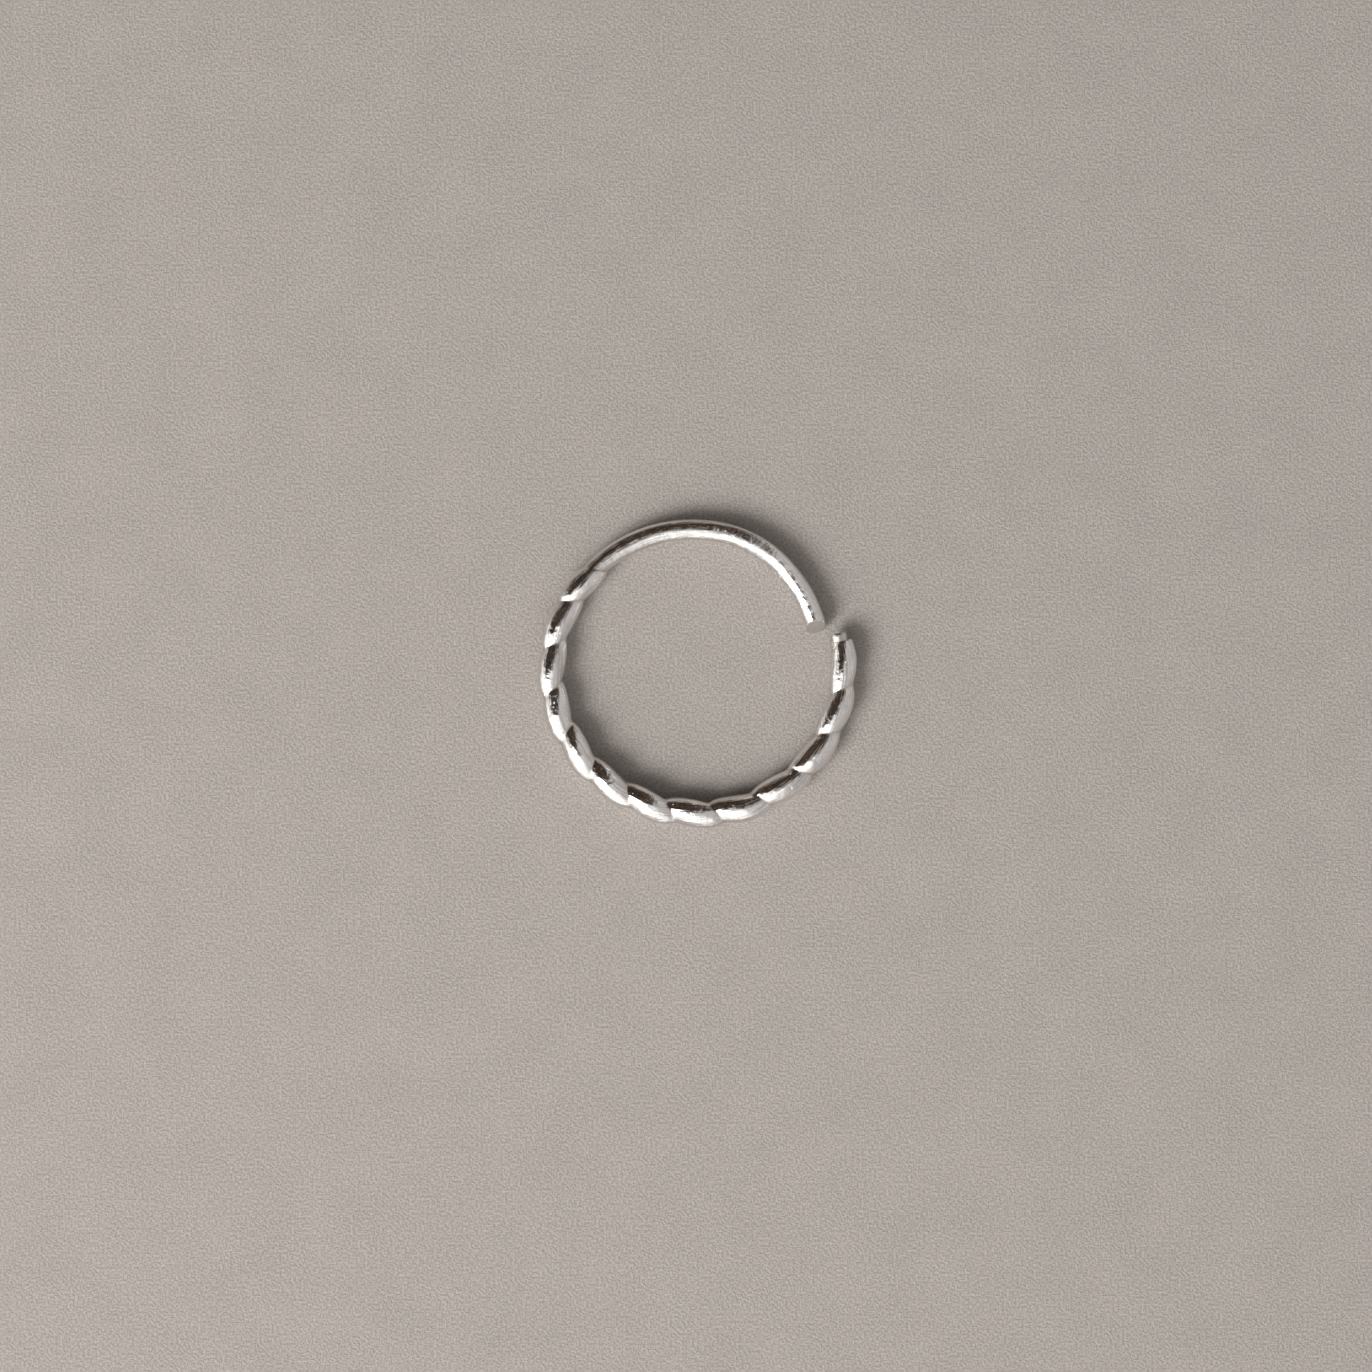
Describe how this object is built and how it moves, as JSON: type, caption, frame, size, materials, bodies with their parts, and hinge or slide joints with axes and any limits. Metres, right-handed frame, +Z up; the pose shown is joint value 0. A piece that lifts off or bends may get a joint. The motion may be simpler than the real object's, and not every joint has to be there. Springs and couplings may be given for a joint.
{
  "type": "nose ring",
  "caption": "Small open hoop of round silver wire with slanted lobes round most of it and one plain free end.",
  "frame": {"origin": "middle of the hoop's outline in plan, on the surface it lies on", "axes": "+Z up, square to the hoop's plane; +X towards the flat end of the lobes; +Y towards the plain wire"},
  "size_m": [0.01, 0.0096, 0.0009],
  "materials": {
    "silver": "hand-polished sterling silver, with fine tool marks and a little tarnish"
  },
  "bodies": {
    "root": {"hoop": "silver"}
  },
  "joints": []
}
